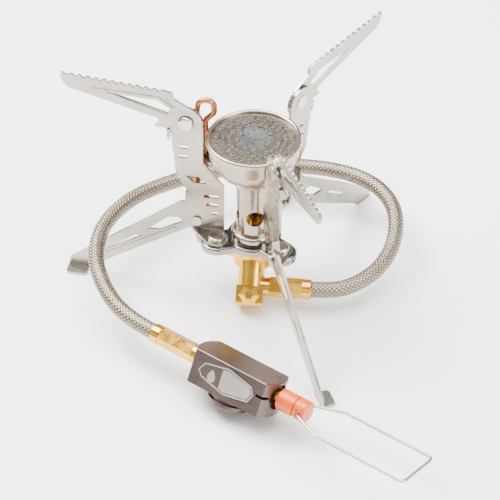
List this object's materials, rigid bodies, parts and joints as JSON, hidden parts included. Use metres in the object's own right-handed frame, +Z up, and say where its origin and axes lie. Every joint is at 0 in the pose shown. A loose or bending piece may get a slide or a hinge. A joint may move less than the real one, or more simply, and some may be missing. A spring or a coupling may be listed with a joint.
{
  "type": "camping stove",
  "caption": "Remote-canister camping stove: burner on folding legs with serrated pot supports, preheat tube, braided fuel hose and canister valve with wire handle.",
  "frame": {"origin": "burner axis at ground level, centre of the three feet", "axes": "+Z up along the burner axis; +Y away from the canister valve; +X to the right as seen from the valve's side"},
  "size_m": [0.1714, 0.2262, 0.1153],
  "materials": {
    "leg_steel": "satin stainless sheet",
    "burner_steel": "spun stainless, polished, with heat tint",
    "flame_steel": "perforated stainless, bluish from heat",
    "base_steel": "polished stainless plate with a bright rim",
    "rivet_steel": "polished rivet",
    "jet_brass": "machined brass, golden",
    "dark_metal": "dark plated metal",
    "copper_tube": "heat-darkened copper alloy",
    "hose_braid": "braided stainless sleeve under clear film",
    "valve_alloy": "bead-blasted aluminium, anodised gunmetal",
    "knob_alloy": "turned aluminium, anodised orange",
    "wire_steel": "stainless wire",
    "seal_rubber": "black nitrile"
  },
  "bodies": {
    "root": {"base_plate": "base_steel", "base_rivets": "rivet_steel", "mixing_tube": "burner_steel", "burner_head": "burner_steel", "flame_plate": "flame_steel", "jet_body": "jet_brass", "jet_nozzle": "jet_brass", "inlet_block": "jet_brass", "block_plug": "jet_brass", "block_seal": "seal_rubber", "inlet_filter": "jet_brass", "generator_tube": "copper_tube", "generator_ferrules": "jet_brass", "generator_clip": "dark_metal", "hose_fitting_burner": "jet_brass", "hose": "hose_braid", "hose_fitting_valve": "jet_brass", "valve_body": "valve_alloy", "canister_collar": "valve_alloy", "collar_seal": "seal_rubber", "pin_depressor": "jet_brass", "gland_nut": "jet_brass", "spindle_seal": "seal_rubber", "stop_pin": "rivet_steel"},
    "upright_left": {"bracket_left": "leg_steel", "arm_rivet_left": "rivet_steel", "leg_rivet_left": "rivet_steel"},
    "support_left": {"pot_support_left": "leg_steel"},
    "leg_left": {"folding_leg_left": "leg_steel"},
    "upright_front": {"bracket_front": "leg_steel", "arm_rivet_front": "rivet_steel", "leg_rivet_front": "rivet_steel"},
    "support_front": {"pot_support_front": "leg_steel"},
    "leg_front": {"folding_leg_front": "leg_steel"},
    "upright_rear": {"bracket_rear": "leg_steel", "arm_rivet_rear": "rivet_steel", "leg_rivet_rear": "rivet_steel"},
    "support_rear": {"pot_support_rear": "leg_steel"},
    "leg_rear": {"folding_leg_rear": "leg_steel"},
    "knob": {"knob": "knob_alloy", "spindle": "rivet_steel", "knob_pin": "rivet_steel"},
    "handle": {"bail": "wire_steel"}
  },
  "joints": [
    {"name": "upright_left_swing", "type": "hinge", "parent": "root", "child": "upright_left", "pos_m": [-0.01784, -0.00488, 0.0339], "axis": [0, 0, 1], "range_deg": [0, 6]},
    {"name": "support_left_fold", "type": "hinge", "parent": "upright_left", "child": "support_left", "pos_m": [-0.03166, 0.00642, 0.09474], "axis": [0.1905, 0.9803, -0.0523], "range_deg": [0, 115]},
    {"name": "leg_left_fold", "type": "hinge", "parent": "upright_left", "child": "leg_left", "pos_m": [-0.02681, 0.00513, 0.03858], "axis": [-0.1905, -0.9803, 0.0523], "range_deg": [0, 80]},
    {"name": "upright_front_swing", "type": "hinge", "parent": "root", "child": "upright_front", "pos_m": [0.01315, -0.01301, 0.0339], "axis": [0, 0, 1], "range_deg": [0, 60]},
    {"name": "support_front_fold", "type": "hinge", "parent": "upright_front", "child": "support_front", "pos_m": [0.01027, -0.03063, 0.09474], "axis": [-0.9442, -0.3251, -0.0523], "range_deg": [0, 115]},
    {"name": "leg_front_fold", "type": "hinge", "parent": "upright_front", "child": "leg_front", "pos_m": [0.00896, -0.02579, 0.03858], "axis": [0.9442, 0.3251, 0.0523], "range_deg": [0, 60]},
    {"name": "upright_rear_swing", "type": "hinge", "parent": "root", "child": "upright_rear", "pos_m": [0.0047, 0.01789, 0.0339], "axis": [0, 0, 1], "range_deg": [0, 3]},
    {"name": "support_rear_fold", "type": "hinge", "parent": "upright_rear", "child": "support_rear", "pos_m": [0.02139, 0.0242, 0.09474], "axis": [0.7537, -0.6552, -0.0523], "range_deg": [0, 115]},
    {"name": "leg_rear_fold", "type": "hinge", "parent": "upright_rear", "child": "leg_rear", "pos_m": [0.01785, 0.02065, 0.03858], "axis": [-0.7537, 0.6552, 0.0523], "range_deg": [0, 80]},
    {"name": "knob_turn", "type": "hinge", "parent": "root", "child": "knob", "pos_m": [0.01725, -0.10158, 0.01679], "axis": [0.8077, -0.589, -0.0279], "range_deg": [0, 720]},
    {"name": "handle_fold", "type": "hinge", "parent": "knob", "child": "handle", "pos_m": [0.0225, -0.1054, 0.01661], "axis": [0.5719, 0.794, -0.2061], "range_deg": [-95, 95]}
  ]
}
